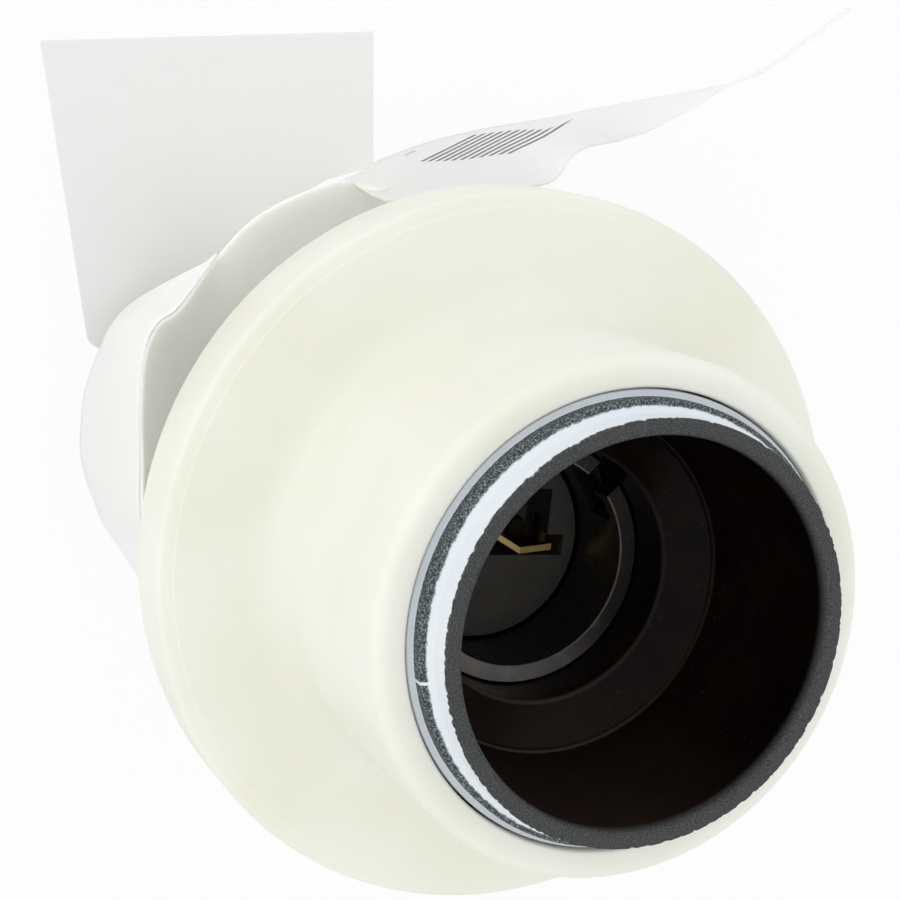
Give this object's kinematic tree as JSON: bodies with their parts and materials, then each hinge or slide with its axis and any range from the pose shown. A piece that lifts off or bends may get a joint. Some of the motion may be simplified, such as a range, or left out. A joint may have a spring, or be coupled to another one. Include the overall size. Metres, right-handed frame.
{
  "type": "lamp holder",
  "caption": "Bayonet lamp holder with a deep protective skirt, a flared screwed shade ring and a loose paper label round its back.",
  "frame": {"origin": "centre of the cord entry at the flat end of the cap", "axes": "+Z along the holder's axis, from the cap out through the skirt's mouth; -Y towards the side that the paper tag stands out on"},
  "size_m": [0.1146, 0.0988, 0.077],
  "materials": {
    "skirt_phenolic": "dark phenolic, painted white outside",
    "ring_cream": "satin cream moulding",
    "barrel_phenolic": "glossy dark red-brown phenolic",
    "carrier_phenolic": "moulded, slightly dulled",
    "contact_brass": "bright rolled strip",
    "terminal_brass": "turned and milled",
    "screw_steel": "zinc plated",
    "cap_phenolic": "white painted moulding",
    "bush_rubber": "plain",
    "label_paper": "thin white paper, torn edge"
  },
  "bodies": {
    "root": {"cap": "cap_phenolic", "entry_bush": "bush_rubber", "cord_grip_bar": "carrier_phenolic", "contact_carrier": "carrier_phenolic", "terminal_left": "terminal_brass", "terminal_right": "terminal_brass", "terminal_screws": "screw_steel", "carrier_screws": "screw_steel", "bayonet_barrel": "barrel_phenolic", "label_strip": "label_paper", "label_flap": "label_paper", "label_tag": "label_paper"},
    "skirt": {"skirt": "skirt_phenolic"},
    "shade_ring": {"shade_ring": "ring_cream"},
    "contact_left": {"contact_left": "contact_brass"},
    "contact_right": {"contact_right": "contact_brass"}
  },
  "joints": [
    {"name": "skirt_unscrew", "type": "slide", "parent": "root", "child": "skirt", "axis": [0, 0, 1], "range_m": [0, 0.0065]},
    {"name": "ring_unscrew", "type": "slide", "parent": "skirt", "child": "shade_ring", "axis": [0, 0, 1], "range_m": [0, 0.018]},
    {"name": "left_contact_press", "type": "hinge", "parent": "root", "child": "contact_left", "pos_m": [-0.00328, 0.00751, 0.0368], "axis": [0.9164, 0.4003, 0], "range_deg": [0, 10], "stiffness_Nm_per_rad": 0.05},
    {"name": "right_contact_press", "type": "hinge", "parent": "root", "child": "contact_right", "pos_m": [0.00328, -0.00751, 0.0368], "axis": [-0.9164, -0.4003, 0], "range_deg": [0, 10], "stiffness_Nm_per_rad": 0.05}
  ]
}
